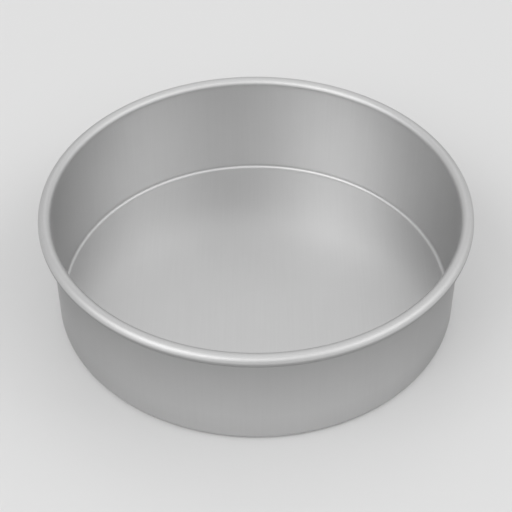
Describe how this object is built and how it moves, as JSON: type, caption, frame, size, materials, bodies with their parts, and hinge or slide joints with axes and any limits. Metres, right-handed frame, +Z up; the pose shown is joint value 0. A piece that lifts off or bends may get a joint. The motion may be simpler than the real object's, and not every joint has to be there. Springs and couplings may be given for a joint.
{
  "type": "round cake tin",
  "caption": "Deep round cake tin with a fixed flat base, a small rounded inside corner, a straight wall and a fat rim rolled outwards round a wire.",
  "frame": {"origin": "centre of the underside, on the surface that the tin stands on", "axes": "+Z up through the centre of the tin, which is round; -Y is towards the viewer of the picture; +Y is the side where the wire's ends meet"},
  "size_m": [0.266, 0.266, 0.075],
  "materials": {
    "satin_aluminium": "satin",
    "rim_wire_steel": "plain drawn wire"
  },
  "bodies": {
    "root": {"pan_shell": "satin_aluminium", "rim_wire": "rim_wire_steel"}
  },
  "joints": []
}
